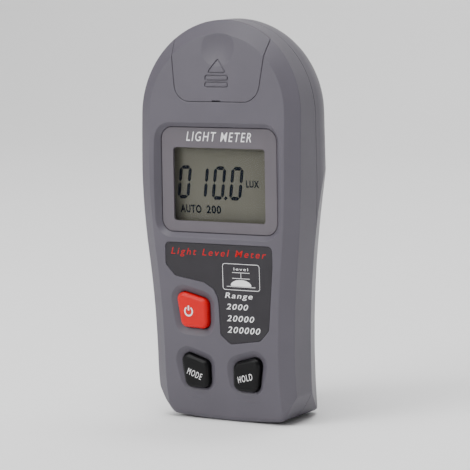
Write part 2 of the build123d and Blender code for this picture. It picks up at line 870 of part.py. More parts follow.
def make_board_screws():
    """Four small screws that hold the main board to its posts."""
    group = []
    for x, z in board_posts:
        top = board_back_y + board_head_height
        shank = rod(x, z, board_screw_radius, board_front_y - board_screw_bite, board_back_y + overlap)
        head = rod(x, z, board_head_radius, board_back_y, top)
        group.append(shank + head - cross_recess(x, z, top, small_cross_half, small_cross_width, small_cross_deep))
    return group


def cross_recess(x, z, top, half, across, deep):
    """Cross-shaped recess in a screw's head."""
    flat = block(x - half, x + half, top - deep, top + overcut, z - across / 2, z + across / 2)
    upright = block(x - across / 2, x + across / 2, top - deep, top + overcut, z - half, z + half)
    return flat + upright


# ---- Sensor ------------------------------------------------------------------------------------
def make_sensor_dome():
    """White diffuser: a low dome on a disc, with a neck through the stage."""
    ball_radius = (dome_radius ** 2 + dome_height ** 2) / (2 * dome_height)
    ball = Pos(0, stage_y - dome_height + ball_radius, dome_z) * Sphere(ball_radius)
    cap = ball & dome_tower(dome_radius, stage_y - 2 * dome_height, stage_y)
    return cap + dome_tower(neck_radius, stage_y - overlap, stage_y + stage_wall)


def make_sensor_ring():
    """Seal ring round the dome."""
    ring = dome_tower(dome_radius + inlay_gap + ring_width, stage_y - ring_height, stage_y)
    ring -= dome_tower(dome_radius + inlay_gap, -depth, depth)
    return chamfer(ring.edges().filter_by(GeomType.CIRCLE).group_by(Axis.Y)[0], ring_bevel)


def make_colour_filter():
    """Green correction filter behind the dome's neck."""
    return dome_tower(neck_radius + filter_rim, filter_y, filter_y + filter_thick)


def make_photodiode():
    """Square silicon cell."""
    y = filter_y + filter_thick
    return block(-diode_half, diode_half, y, y + diode_thick, dome_z - diode_half, dome_z + diode_half)


def make_sensor_board():
    """Small board that carries the cell."""
    y = sensor_board_y
    half, up = sensor_board_half
    board = block(-half, half, y, y + sensor_board_thick, dome_z - up, dome_z + up)
    return fillet(board.edges().filter_by(Axis.Y), sensor_board_corner)


def lead(points, bend=lead_bend):
    """One insulated lead: straight runs joined by tangent arcs."""
    path = FilletPolyline(*points, radius=bend)
    section = Plane(origin=path @ 0, z_dir=path % 0) * Circle(lead_radius)
    return sweep(section, path=path)


def make_sensor_leads():
    """Two leads from the sensor's board over to the main board's back."""
    start = sensor_board_y + sensor_board_thick
    crest = start + sensor_lead_crest
    low = board_high_z - sensor_lead_end
    group = []
    for side in (-1, 1):
        x = side * sensor_lead_x
        points = [(x, start, dome_z), (x, crest, dome_z), (x, crest, low), (x, board_back_y, low)]
        group.append(lead(points))
    return group


# ---- Batteries ---------------------------------------------------------------------------------
def cell_up(index):
    """Whether a cell's nub points up."""
    return index % 2 == 0


def make_cell(index):
    """One AAA cell with its nub."""
    x = (index - 1) * cell_pitch
    low = bay_low_z + contact_thick
    low += spring_length if cell_up(index) else 0
    can_low = low if cell_up(index) else low + nub_height
    can_length = cell_length - nub_height
    can = Pos(x, cell_y, can_low + can_length / 2) * Cylinder(cell_radius, can_length)
    can = fillet(can.edges(), cell_edge)
    nub_z = low + cell_length - nub_height if cell_up(index) else low + nub_height
    return can + Pos(x, cell_y, nub_z) * Cylinder(nub_radius, 2 * nub_height)


def make_battery_springs():
    """One conical coil at the flat end of each cell."""
    rise = spring_length - 2 * spring_wire
    path = Helix(pitch=rise / spring_turns, height=rise, radius=spring_radius, cone_angle=spring_cone)
    section = Plane(origin=path @ 0, z_dir=path % 0) * Circle(spring_wire)
    coil = sweep(section, path=path)
    group = []
    for index in range(3):
        x = (index - 1) * cell_pitch
        if cell_up(index):
            group.append(Pos(x, cell_y, bay_low_z + contact_thick + spring_wire) * coil)
        else:
            group.append(Pos(x, cell_y, bay_high_z - contact_thick - spring_wire) * Rot(180, 0, 0) * coil)
    return group


def contact_plate(x0, x1, z0, z1):
    """Flat contact against one end of the bay."""
    ahead, behind = contact_reach
    return block(x0, x1, cell_y - ahead, cell_y + behind, z0, z1)


def make_battery_contacts():
    """Two bridges and two end plates, each end plate with a tab through the bay's floor."""
    low = (bay_low_z, bay_low_z + contact_thick)
    high = (bay_high_z - contact_thick, bay_high_z)
    half = cell_pitch / 2 - contact_side_gap
    tab_end = bay_front_y - bay_floor - lead_tab_reach
    group = []
    for x, z in lead_tabs:
        ends = low if z < (bay_low_z + bay_high_z) / 2 else high
        plate = contact_plate(x - half, x + half, *ends)
        tab = block(x - lead_tab_half, x + lead_tab_half, tab_end, cell_y - contact_reach[0] + overlap, *ends)
        group.append(plate + tab)
    group.append(contact_plate(-half, cell_pitch + half, *low))
    group.append(contact_plate(-cell_pitch - half, half, *high))
    return group


def make_battery_leads():
    """Two leads from the contact tabs to the main board."""
    start_y = bay_front_y - bay_floor - lead_tab_reach / 2
    bend = min(lead_bend, 0.8 * (start_y - board_back_y))
    group = []
    for (x, z), away in zip(lead_tabs, (1, -1)):
        begin = z + away * (contact_thick / 2 + overlap)
        turn = begin + away * battery_lead_run
        points = [(x, start_y, begin), (x, start_y, turn), (x, board_back_y, turn)]
        group.append(lead(points, bend))
    return group


def make_battery_door():
    """Door over the bay: follows the back, pivots at its lower edge, two tabs and a catch."""
    door = front_prism(door_rectangle(0), door_in_y, depth) & outer
    door -= block(-width, width, 0, depth, 0, door_pivot_z)
    door += Pos(0, door_pivot_y, door_pivot_z) * Rot(0, 90, 0) * Cylinder(door_thick / 2, 2 * pivot_half)
    for side in (-1, 1):
        x = side * tab_x
        door += block(x - tab_half, x + tab_half, tab_front_y, door_in_y + overlap, tab_low_z, door_low_z + tab_root)
    catch_top = bay_high_z - key_gap
    door += block(-catch_half, catch_half, door_in_y - catch_reach, door_in_y + overlap,
                  catch_top - catch_thick, catch_top)
    door -= nail_dent()
    for step in range(groove_count):
        z = door_high_z - groove_first - groove_pitch * step
        groove = Cylinder(groove_radius, groove_length - groove_step * step)
        door -= Pos(0, back_y + groove_lift, z) * Rot(0, 90, 0) * groove
    return door


def make_battery_pad():
    """Thin foam pad inside the door."""
    low = bay_low_z + pad_from_ends
    high = bay_high_z - pad_from_ends
    return block(-pad_half, pad_half, door_in_y - pad_thick, door_in_y, low, high)


def make_housing_screws():
    """Four self-tapping screws."""
    group = []
    for x, z in screw_places:
        under = head_sink_y - head_height
        head = rod(x, z, head_radius, under, head_sink_y)
        head = fillet(head.edges().filter_by(GeomType.CIRCLE).sort_by(Axis.Y)[-1], head_edge)
        shank = rod(x, z, screw_radius, under - screw_length, under + overlap)
        group.append(head + shank - cross_recess(x, z, head_sink_y, cross_half, cross_width, cross_deep))
    return group


def make_rear_label():
    """Plain label on the back."""
    shape = Pos(0, rear_label_z) * rear_label_shape(0)
    return front_prism(shape, back_y - label_depth, back_y - rear_label_sink)


def write(name, shape):
    """Write one node; a list of solids goes into one node as a group."""
    if isinstance(shape, list):
        shape = Compound(children=[piece.solid() for piece in shape])
    export_step(shape, f"parts/{name}.step")
    print(name, round(shape.volume, 1), len(shape.solids()))


if __name__ == "__main__":
    os.makedirs("parts", exist_ok=True)
    write("front_shell", make_front_shell())
    write("rear_shell", make_rear_shell())
    write("sensor_cap", make_sensor_cap())
    write("display_plate", make_display_plate())
    write("display_window", make_display_window())
    write("label_panel", make_label_panel())
    for name, points in keys.items():
        write(f"{name}_button", make_key(points))
        write(f"{name}_plunger", make_plunger(points))
    write("tact_switches", make_switches())
    write("lcd_glass", make_lcd_glass())
    write("lcd_reflector", make_lcd_reflector())
    write("lcd_holder", make_lcd_holder())
    write("zebra_strips", make_zebra_strips())
    write("main_board", make_main_board())
    write("processor_chip", make_processor_chip())
    write("board_chips", make_board_chips())
    write("crystal", make_crystal())
    write("capacitors", make_capacitors())
    write("board_screws", make_board_screws())
    write("sensor_dome", make_sensor_dome())
    write("sensor_ring", make_sensor_ring())
    write("colour_filter", make_colour_filter())
    write("photodiode", make_photodiode())
    write("sensor_board", make_sensor_board())
    write("sensor_leads", make_sensor_leads())
    for index in range(3):
        write(f"battery_{index + 1}", make_cell(index))
    write("battery_springs", make_battery_springs())
    write("battery_contacts", make_battery_contacts())
    write("battery_leads", make_battery_leads())
    write("battery_pad", make_battery_pad())
    write("battery_door", make_battery_door())
    write("housing_screws", make_housing_screws())
    write("rear_label", make_rear_label())
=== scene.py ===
"""Finishes, prints and studio for the handheld light meter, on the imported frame, in metres."""
import json
import math

import bpy
import numpy as np
from bpy.props import FloatProperty, FloatVectorProperty, PointerProperty, StringProperty
from bpy.types import Operator, Panel, PropertyGroup
from mathutils import Matrix, Vector
from mathutils.bvhtree import BVHTree

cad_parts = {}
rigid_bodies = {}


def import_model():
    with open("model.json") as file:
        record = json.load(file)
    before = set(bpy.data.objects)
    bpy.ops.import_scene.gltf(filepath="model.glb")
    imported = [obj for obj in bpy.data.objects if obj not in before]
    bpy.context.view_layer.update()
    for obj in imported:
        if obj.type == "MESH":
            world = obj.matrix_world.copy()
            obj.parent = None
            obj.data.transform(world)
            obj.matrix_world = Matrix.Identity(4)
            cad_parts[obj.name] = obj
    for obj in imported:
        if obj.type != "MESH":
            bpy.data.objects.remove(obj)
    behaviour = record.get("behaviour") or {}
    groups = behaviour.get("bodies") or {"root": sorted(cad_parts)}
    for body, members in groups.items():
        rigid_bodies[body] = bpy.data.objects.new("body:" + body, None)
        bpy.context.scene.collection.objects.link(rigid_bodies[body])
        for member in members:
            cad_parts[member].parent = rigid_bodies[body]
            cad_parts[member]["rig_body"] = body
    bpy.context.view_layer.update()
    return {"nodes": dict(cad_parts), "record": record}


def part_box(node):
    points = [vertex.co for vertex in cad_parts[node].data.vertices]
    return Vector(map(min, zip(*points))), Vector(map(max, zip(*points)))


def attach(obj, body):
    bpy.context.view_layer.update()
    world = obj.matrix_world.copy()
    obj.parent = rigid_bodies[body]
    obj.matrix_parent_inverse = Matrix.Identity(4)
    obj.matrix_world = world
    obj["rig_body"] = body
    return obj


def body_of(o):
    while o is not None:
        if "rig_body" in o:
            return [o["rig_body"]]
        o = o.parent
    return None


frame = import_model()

bl_info = {
    "name": "Light Meter",
    "version": (1, 0, 0),
    "blender": (4, 5, 0),
    "location": "View3D > Sidebar > Light Meter",
    "description": "Finishes and prints of a handheld light meter",
    "category": "Object",
}

SLOTS = {part["node"]: part["material_slot"] for part in frame["record"]["subparts"]}


def tone(name, text, colour):
    """Colour property."""
    return FloatVectorProperty(name=name, description=text, subtype="COLOR", size=3, min=0, max=1,
                               default=colour)


def size(name, text, value):
    """Length property, in metres."""
    return FloatProperty(name=name, description=text, unit="LENGTH", precision=5, default=value)


def share(name, text, value):
    """Plain number property."""
    return FloatProperty(name=name, description=text, default=value)


def view_angle(name, text, degrees):
    """Angle property, given in degrees."""
    return FloatProperty(name=name, description=text, subtype="ANGLE", default=math.radians(degrees))


def light_power(name, text, watts):
    """Light power property."""
    return FloatProperty(name=name, description=text, unit="POWER", default=watts)


class MeterColours(PropertyGroup):
    """Colour of each finish."""
    housing: tone("Housing", "Moulded shells, cap and door", (0.093, 0.086, 0.104))
    display_plate: tone("Display plate", "Plate round the display", (0.112, 0.101, 0.115))
    clear_window: tone("Window", "Clear window", (0.02, 0.02, 0.02))
    label: tone("Label", "Printed panel under the display", (0.034, 0.032, 0.036))
    red_key: tone("Red key", "Power key", (0.60, 0.002, 0.004))
    black_key: tone("Black keys", "Mode and hold keys", (0.0045, 0.0045, 0.0050))
    plunger: tone("Plunger", "Switch plungers", (0.020, 0.020, 0.020))
    switch_body: tone("Switch", "Switch housings", (0.050, 0.050, 0.052))
    lcd: tone("Segment cell", "Ground of the segment display", (0.125, 0.122, 0.096))
    reflector: tone("Reflector", "Sheet behind the cell", (0.60, 0.62, 0.58))
    holder: tone("Holder", "Frame of the cell", (0.60, 0.60, 0.58))
    elastomer: tone("Elastomer", "Connector strips", (0.20, 0.20, 0.22))
    circuit_board: tone("Circuit board", "Solder mask", (0.015, 0.110, 0.040))
    chip: tone("Chip", "Moulded packages", (0.020, 0.020, 0.022))
    can: tone("Can", "Crystal can", (0.66, 0.65, 0.63))
    screw: tone("Screw", "Screws", (0.42, 0.42, 0.43))
    diffuser: tone("Diffuser", "Sensor dome", (0.80, 0.80, 0.77))
    seal: tone("Seal", "Sensor ring", (0.030, 0.030, 0.032))
    filter: tone("Filter", "Correction filter", (0.16, 0.42, 0.20))
    silicon: tone("Silicon", "Photodiode", (0.025, 0.028, 0.050))
    lead: tone("Leads", "Insulated leads", (0.38, 0.020, 0.018))
    cell: tone("Cell", "Battery wrap", (0.060, 0.085, 0.150))
    spring_steel: tone("Springs", "Battery springs and contacts", (0.70, 0.69, 0.66))
    foam: tone("Foam", "Battery pad", (0.040, 0.040, 0.042))
    rear_label: tone("Rear label", "Plain data label", (0.46, 0.46, 0.47))
    segment: tone("Segments", "Active segments of the display", (0.004, 0.006, 0.012))
    white_print: tone("White print", "Letters and symbols", (0.84, 0.84, 0.85))
    red_print: tone("Red print", "Title of the label", (0.48, 0.012, 0.014))
    floor: tone("Backdrop", "Studio backdrop", (0.86, 0.86, 0.86))


class MeterPrint(PropertyGroup):
    """Words and sizes of the prints, in the reading direction from the middle of the meter."""
    lift: size("Lift", "Height of a print above its surface", 0.00003)
    line: size("Line", "Width of the fine printed lines", 0.00018)
    plate_words: StringProperty(name="Plate words", description="Title on the display plate",
                                default="LIGHT METER")
    plate_left: size("Plate title left", "Left end of the plate's title", -0.0136)
    plate_low: size("Plate title height", "Level of the plate's title", 0.1018)
    plate_length: size("Plate title length", "Length of the plate's title", 0.0274)
    plate_tall: size("Plate title letters", "Letter height", 0.0034)
    label_words: StringProperty(name="Label words", description="Title on the label",
                                default="Light Level Meter")
    label_left: size("Label title left", "Left end of the label's title", -0.0200)
    label_low: size("Label title height", "Level of the label's title", 0.0600)
    label_length: size("Label title length", "Length of the label's title", 0.0402)
    label_tall: size("Label title letters", "Letter height, tail included", 0.0032)
    digit_left: size("Digits left", "Left end of the digits", -0.0203)
    digit_low: size("Digits level", "Lower end of the digits", 0.0804)
    digit_tall: size("Digit height", "Height of a digit", 0.0122)
    digit_wide: size("Digit width", "Width of a digit, upright", 0.0052)
    digit_pitch: size("Digit pitch", "Distance from digit to digit", 0.00735)
    digit_stroke: size("Digit stroke", "Width of a segment", 0.00135)
    digit_slant: share("Digit slant", "Sideways lean for each unit of height", 0.14)
    range_left: size("Range left", "Left end of the range list", 0.0025)
    key_tall: size("Key letters", "Letter height on the keys", 0.0024)


class MeterStage(PropertyGroup):
    """Camera, lights and backdrop."""
    azimuth: view_angle("Azimuth", "Camera's side angle", 32)
    elevation: view_angle("Elevation", "Camera's height angle", 7.4)
    roll: view_angle("Roll", "Camera's turn about its view", -1.75)
    distance: size("Distance", "Camera to the meter", 0.9096)
    aim_x: size("Aim across", "Sideways place that the camera looks at", -0.0018)
    aim_z: size("Aim height", "Height that the camera looks at", 0.0665)
    lens: FloatProperty(name="Lens", description="Focal length in millimetres", default=191.5)
    key_power: light_power("Key light", "Power of the main softbox", 22.0)
    top_power: light_power("Top light", "Power of the overhead softbox", 22.0)
    rim_power: light_power("Rim light", "Power of the rear softbox", 1.5)
    wall_power: light_power("Wall light", "Power of the light on the backdrop", 26.0)
    fill_power: light_power("Fill light", "Power of the right softbox", 1.0)
    sky: share("Sky", "Strength of the even surrounding light", 0.19)


# Variation of each finish: size of its broad mottling and of its grain, relief of the grain, roughness from
# and to, colour change of the mottling, width of the worn edges and radius of the softened creases.
FINISHES = {
    "housing": dict(spread=0.018, grain=0.00035, relief=0.000020, rough=(0.40, 0.50), change=0.05,
                    worn=0.00045, soft=0.0005),
    "display_plate": dict(spread=0.012, grain=0.00020, relief=0.000008, rough=(0.42, 0.52), change=0.04,
                          worn=0.0002),
    "clear_window": dict(spread=0.015, grain=0.00400, relief=0.000002, rough=(0.03, 0.07), change=0.02),
    "label": dict(spread=0.010, grain=0.00016, relief=0.000006, rough=(0.46, 0.58), change=0.08),
    "red_key": dict(spread=0.006, grain=0.00030, relief=0.000008, rough=(0.28, 0.40), change=0.06,
                    soft=0.0004),
    "black_key": dict(spread=0.006, grain=0.00025, relief=0.000012, rough=(0.30, 0.42), change=0.20,
                      soft=0.0004),
    "plunger": dict(spread=0.004, grain=0.00020, relief=0.000006, rough=(0.40, 0.55), change=0.15),
    "switch_body": dict(spread=0.004, grain=0.00020, relief=0.000008, rough=(0.45, 0.60), change=0.12,
                        worn=0.0002),
    "lcd": dict(spread=0.020, grain=0.00030, relief=0.000003, rough=(0.16, 0.24), change=0.05),
    "reflector": dict(spread=0.010, grain=0.00025, relief=0.000006, rough=(0.30, 0.42), change=0.04),
    "holder": dict(spread=0.010, grain=0.00030, relief=0.000010, rough=(0.42, 0.56), change=0.05,
                   worn=0.0003),
    "elastomer": dict(spread=0.006, grain=0.00015, relief=0.000010, rough=(0.55, 0.70), change=0.08,
                      stripes=(0.0004, 0.55)),
    "circuit_board": dict(spread=0.010, grain=0.00020, relief=0.000008, rough=(0.28, 0.42), change=0.10,
                          stripes=(0.0025, 0.25), worn=0.0003),
    "chip": dict(spread=0.004, grain=0.00012, relief=0.000010, rough=(0.50, 0.66), change=0.15,
                 worn=0.00015),
    "can": dict(spread=0.005, grain=0.00030, relief=0.000006, rough=(0.22, 0.36), change=0.05,
                metal=1.0),
    "screw": dict(spread=0.003, grain=0.00020, relief=0.000008, rough=(0.26, 0.42), change=0.10,
                  metal=1.0, worn=0.00020),
    "diffuser": dict(spread=0.006, grain=0.00020, relief=0.000006, rough=(0.45, 0.58), change=0.02),
    "seal": dict(spread=0.004, grain=0.00018, relief=0.000014, rough=(0.60, 0.76), change=0.15,
                 worn=0.0002),
    "filter": dict(spread=0.006, grain=0.00060, relief=0.000003, rough=(0.06, 0.12), change=0.05),
    "silicon": dict(spread=0.004, grain=0.00030, relief=0.000002, rough=(0.12, 0.22), change=0.20,
                    stripes=(0.0012, 0.15)),
    "lead": dict(spread=0.006, grain=0.00020, relief=0.000010, rough=(0.42, 0.55), change=0.08),
    "cell": dict(spread=0.012, grain=0.00040, relief=0.000004, rough=(0.20, 0.34), change=0.06),
    "spring_steel": dict(spread=0.004, grain=0.00025, relief=0.000006, rough=(0.20, 0.34), change=0.06,
                         metal=1.0, worn=0.0001),
    "foam": dict(spread=0.004, grain=0.00050, relief=0.000120, rough=(0.85, 0.95), change=0.25),
    "rear_label": dict(spread=0.010, grain=0.00018, relief=0.000005, rough=(0.34, 0.44), change=0.03,
                       metal=0.6),
    "segment": dict(spread=0.006, grain=0.00030, relief=0.000002, rough=(0.30, 0.36), change=0.10),
    "white_print": dict(spread=0.004, grain=0.00012, relief=0.000004, rough=(0.48, 0.60), change=0.03),
    "red_print": dict(spread=0.004, grain=0.00012, relief=0.000004, rough=(0.46, 0.58), change=0.05),
    "floor": dict(spread=0.300, grain=0.00200, relief=0.000020, rough=(0.80, 0.90), change=0.01),
}
# Single-valued shader settings that some finishes add.
SETTINGS = {
    "clear_window": {"Alpha": 0.07, "IOR": 1.49},
    "display_plate": {"Specular IOR Level": 0.28},
    "label": {"Specular IOR Level": 0.15},
    "black_key": {"Specular IOR Level": 0.16},
    "segment": {"Specular IOR Level": 0.05},
    "white_print": {"Specular IOR Level": 0.15},
    "red_print": {"Specular IOR Level": 0.10},
    "filter": {"Transmission Weight": 0.6, "IOR": 1.52},
    "housing": {"Specular IOR Level": 0.30},
    "red_key": {"Specular IOR Level": 0.20},
    "lcd": {"Specular IOR Level": 0.20},
    "foam": {"Sheen Weight": 0.3},
    "diffuser": {"Subsurface Weight": 0.25, "Subsurface Scale": 0.002},
}

# Bands on the cells: length from the nub's end, width of the border and colour.
BAND_LENGTH = 0.012
BAND_BLUR = 0.0002
BAND_COLOUR = (0.50, 0.30, 0.12)

# ---- Places of the prints, in metres from the middle and the lower edge of the meter ---------------
TITLE_SHEAR = 0.25
TITLE_WEIGHT = 0.002
# Name, words, left end, level, length and height.
READING_WORDS = (
    ("unit", "LUX", 0.0093, 0.0852, 0.0054, 0.0026),
    ("auto", "AUTO", -0.0190, 0.0753, 0.0090, 0.0030),
    ("span", "200", -0.0078, 0.0753, 0.0062, 0.0030),
)
# Name, words, left end beyond the list's own, level, length, height and slant.
RANGE_ROWS = (
    ("level", "level", 0.0040, 0.0560, 0.0060, 0.0010, 0.0),
    ("name", "Range", 0.0, 0.0452, 0.0116, 0.0026, 0.2),
    ("low", "2000", 0.0004, 0.0417, 0.0092, 0.0021, 0.25),
    ("middle", "20000", 0.0005, 0.0374, 0.0115, 0.0022, 0.25),
    ("high", "200000", 0.0006, 0.0332, 0.0138, 0.0023, 0.25),
)
# Key, word, left end, level, length and turn in degrees.
KEY_WORDS = (
    ("mode", "MODE", -0.0143, 0.0172, 0.0064, -19),
    ("hold", "HOLD", 0.0078, 0.0152, 0.0063, 15),
)
POWER_SIGN = (-0.0126, 0.0402, 0.0016, 0.00028)         # middle, radius and half the line
SYMBOL_BOX = (0.0018, 0.0172, 0.0489, 0.0583, 0.0010)   # sides, lower and upper edge, corner
SYMBOL_DOME = (0.0094, 0.0503, 0.0042, 0.0023)          # middle, foot, half width and rise
# Ends of the base line, the two level lines and the upright between them.
SYMBOL_LINES = (
    ((0.0034, 0.0501), (0.0154, 0.0501)),
    ((0.0058, 0.0552), (0.0131, 0.0552)),
    ((0.0058, 0.0531), (0.0131, 0.0531)),
    ((0.00945, 0.0531), (0.00945, 0.0552)),
)
BORDER_INSET = 0.0010
BORDER_CORNER = 0.001
ROW_INSET = 0.003
ROW_ABOVE = 0.0045      # first and last ruled line, from the label's edges

# ---- Studio, in metres ---------------------------------------------------------------------------
SWEEP_REACH = 3.0       # how far the floor and wall run
SWEEP_WALL = 1.5        # wall behind the meter
SWEEP_ROUND = 0.6
# Name, width, height, place and aim of each light; None aims it at the meter.
SOFTBOXES = (
    ("key", 1.0, 1.0, (-0.75, -1.35, 0.95), None),
    ("top", 1.2, 0.9, (0.0, -0.35, 1.45), None),
    ("rim", 0.5, 1.2, (0.50, 1.25, 0.70), None),
    ("wall", 2.0, 0.6, (0.0, 0.75, 2.3), (0.0, 1.5, 0.5)),
    ("fill", 0.8, 1.0, (1.35, -0.75, 0.35), None),
)


# ---- Materials ---------------------------------------------------------------------------------
class Tree:
    """Small helper that adds nodes to one material and joins them."""

    def __init__(self, name):
        self.material = bpy.data.materials.new(name)
        self.material.use_nodes = True
        self.nodes = self.material.node_tree.nodes
        self.nodes.clear()
        self.place = self.add("ShaderNodeTexCoord").outputs["Object"]

    def add(self, kind, **fields):
        """New node with its fields set."""
        node = self.nodes.new(kind)
        for field, value in fields.items():
            setattr(node, field, value)
        return node

    def join(self, source, target):
        """Link an output to an input."""
        self.material.node_tree.links.new(source, target)

    def noise(self, length, detail=2.0):
        """Noise whose features have this length."""
        node = self.add("ShaderNodeTexNoise")
        node.inputs["Scale"].default_value = 1.0 / length
        node.inputs["Detail"].default_value = detail
        self.join(self.place, node.inputs["Vector"])
        return node.outputs["Fac"]

    def remap(self, source, low, high, start=0.3, end=0.7):
        """Source from start to end becomes low to high."""
        node = self.add("ShaderNodeMapRange")
        for key, value in (("From Min", start), ("From Max", end), ("To Min", low), ("To Max", high)):
            node.inputs[key].default_value = value
        self.join(source, node.inputs["Value"])
        return node.outputs["Result"]

    def mix(self, factor, first, second):
        """Colour between first and second; each is a colour or an output."""
        node = self.add("ShaderNodeMix", data_type="RGBA")
        self.join(factor, node.inputs[0])
        for socket, value in ((node.inputs[6], first), (node.inputs[7], second)):
            if isinstance(value, tuple):
                socket.default_value = value
            else:
                self.join(value, socket)
        return node.outputs[2]

    def edges(self, width):
        """One on sharp edges of this width, nought on flats."""
        bevel = self.add("ShaderNodeBevel", samples=4)
        bevel.inputs["Radius"].default_value = width
        flat = self.add("ShaderNodeNewGeometry")
        dot = self.add("ShaderNodeVectorMath", operation="DOT_PRODUCT")
        self.join(bevel.outputs["Normal"], dot.inputs[0])
        self.join(flat.outputs["Normal"], dot.inputs[1])
        return self.remap(dot.outputs["Value"], 1.0, 0.0, 0.86, 0.995)

    def stripes(self, pitch):
        """Even stripes across the meter with this pitch."""
        node = self.add("ShaderNodeTexWave", bands_direction="X")
        node.inputs["Scale"].default_value = math.tau / 20.0 / pitch
        node.inputs["Distortion"].default_value = 0.6
        self.join(self.place, node.inputs["Vector"])
        return node.outputs["Fac"]


def scaled(colour, factor):
    """Colour with its brightness changed."""
    return tuple(min(channel * factor, 1.0) for channel in colour) + (1.0,)


def striped(tree, base, colour, pitch, strength):
    """Base colour with darker stripes."""
    lines = tree.remap(tree.stripes(pitch), 0.0, strength, 0.45, 0.55)
    return tree.mix(lines, base, scaled(colour, 0.35))


def banded(tree, base, start, end, colour):
    """Base colour that changes to another from height start to height end."""
    height = tree.add("ShaderNodeSeparateXYZ")
    tree.join(tree.place, height.inputs["Vector"])
    inside = tree.remap(height.outputs["Z"], 0.0, 1.0, start, end)
    return tree.mix(inside, base, scaled(colour, 1.0))


def worn_at_edges(tree, base, colour, width):
    """Base colour with patches of lighter wear along sharp edges."""
    patches = tree.remap(tree.noise(0.006, 4.0), 0.15, 0.6)
    edge = tree.add("ShaderNodeMath", operation="MULTIPLY")
    tree.join(tree.edges(width), edge.inputs[0])
    tree.join(patches, edge.inputs[1])
    return tree.mix(edge.outputs[0], base, scaled(colour, 1.5))


def grain_relief(tree, fine, relief, soft):
    """Normal of the fine grain, on creases softened by this radius where one is given."""
    bump = tree.add("ShaderNodeBump")
    bump.inputs["Strength"].default_value = 1.0
    bump.inputs["Distance"].default_value = relief
    tree.join(fine, bump.inputs["Height"])
    if soft:
        round_edge = tree.add("ShaderNodeBevel", samples=6)
        round_edge.inputs["Radius"].default_value = soft
        tree.join(round_edge.outputs["Normal"], bump.inputs["Normal"])
    return bump.outputs["Normal"]


def finish(slot, name=None, band=None):
    """Procedural material of one finish: mottled colour, grain relief, uneven roughness and worn edges."""
    name = name or f"finish_{slot}"
    if name in bpy.data.materials:
        return bpy.data.materials[name]
    facts = FINISHES[slot]
    colour = tuple(getattr(bpy.context.scene.meter_colours, slot))
    tree = Tree(name)
    shader = tree.add("ShaderNodeBsdfPrincipled")
    out = tree.add("ShaderNodeOutputMaterial")
    tree.join(shader.outputs["BSDF"], out.inputs["Surface"])
    broad = tree.noise(facts["spread"], 3.0)
    fine = tree.noise(facts["grain"])
    change = facts["change"]
    base = tree.mix(tree.remap(broad, 0.0, 1.0), scaled(colour, 1.0 - change), scaled(colour, 1.0 + change))
    if "stripes" in facts:
        base = striped(tree, base, colour, *facts["stripes"])
    if band:
        base = banded(tree, base, *band)
    if "worn" in facts:
        base = worn_at_edges(tree, base, colour, facts["worn"])
    tree.join(base, shader.inputs["Base Color"])
    tree.join(tree.remap(fine, *facts["rough"]), shader.inputs["Roughness"])
    tree.join(grain_relief(tree, fine, facts["relief"], facts.get("soft")), shader.inputs["Normal"])
    shader.inputs["Metallic"].default_value = facts.get("metal", 0.0)
    for key, value in SETTINGS.get(slot, {}).items():
        shader.inputs[key].default_value = value
    return tree.material


def paint(*nodes):
    """Give CAD nodes the finish of their record slots."""
    for node in nodes:
        mesh = frame["nodes"][node].data
        mesh.materials.clear()
        mesh.materials.append(finish(SLOTS[node]))


# ---- Prints ------------------------------------------------------------------------------------
def surface_of(node):
    """Search tree over a CAD node's surface, in the meter's frame."""
    item = frame["nodes"][node]
    points = [item.matrix_world @ vertex.co for vertex in item.data.vertices]
    faces = [tuple(polygon.vertices) for polygon in item.data.polygons]
    return BVHTree.FromPolygons(points, faces)


def drape(flat, node, toward=1.0):
    """Points (x, z) laid on a surface: y is where a line along Y first meets it, less the print's lift."""
    lift = bpy.context.scene.meter_print.lift
    tree = surface_of(node)
    points = np.zeros((len(flat), 3))
    for index, (x, z) in enumerate(flat):
        hit = tree.ray_cast(Vector((x, -toward, z)), Vector((0.0, toward, 0.0)))[0]
        if hit is None:
            raise RuntimeError(f"a print runs off {node}")
        points[index] = (x, hit.y - toward * lift, z)
    return points


def print_piece(name, flat, faces, node, finish_name, toward=1.0):
    """Mesh of one print on a node, moving with that node's body."""
    points = drape(flat, node, toward)
    if toward < 0:
        faces = [tuple(reversed(face)) for face in faces]
    mesh = bpy.data.meshes.new(name)
    mesh.from_pydata(points.tolist(), [], faces)
    mesh.materials.append(finish(finish_name))
    item = bpy.data.objects.new(name, mesh)
    bpy.context.scene.collection.objects.link(item)
    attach(item, body_of(frame["nodes"][node])[0])
    return item


def ribbon(line, half, closed=False):
    """Flat ribbon: at station t its two sides are line(t) + half(t) n(t) and line(t) - half(t) n(t)."""
    line = np.asarray(line, float)
    half = np.broadcast_to(np.asarray(half, float), (len(line),))
    if closed:
        run = np.roll(line, -1, 0) - np.roll(line, 1, 0)
    else:
        run = np.gradient(line, axis=0)
    run /= np.linalg.norm(run, axis=1)[:, None]
    side = np.stack([-run[:, 1], run[:, 0]], 1) * half[:, None]
    flat = np.stack([line + side, line - side], 1).reshape(-1, 2)
    count = len(line)
    last = count if closed else count - 1
    faces = []
    for i in range(last):
        j = (i + 1) % count
        faces.append((2 * i, 2 * i + 1, 2 * j + 1, 2 * j))
    return flat, faces


def join_flat(pieces):
    """Several (points, faces) sets as one."""
    points, faces, start = [], [], 0
    for flat, quads in pieces:
        points.append(flat)
        faces += [tuple(index + start for index in quad) for quad in quads]
        start += len(flat)
    return np.concatenate(points), faces


